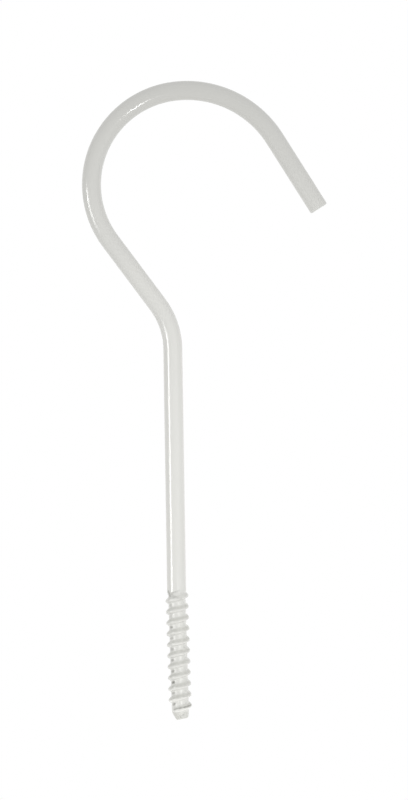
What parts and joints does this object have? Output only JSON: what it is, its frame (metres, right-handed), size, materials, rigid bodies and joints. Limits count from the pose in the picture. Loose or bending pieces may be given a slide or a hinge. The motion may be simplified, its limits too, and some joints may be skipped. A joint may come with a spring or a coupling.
{
  "type": "plant hook",
  "caption": "Round-wire screw-in plant hook: a coarse wood-screw end, a long straight shank, a dog-leg bend and an open crook that takes a hanging pot's ring, coated glossy white.",
  "frame": {"origin": "on the screw's axis at the foot of the plain shank, where the face of the timber lies when the screw is driven home", "axes": "+Z along the screw's axis from its point towards the crook, +X the way the crook opens, and +Y square to the flat plane that the hook is bent in; the hook stands as it is pictured, with its point down, and in use it is turned over, with the screw going up into a beam or ceiling and the crook hanging"},
  "size_m": [0.0765, 0.0072, 0.2001],
  "materials": {
    "white_coating": "smooth glossy white coating over steel wire, a little thicker in the thread's roots"
  },
  "bodies": {
    "root": {"plant_hook": "white_coating"}
  },
  "joints": []
}
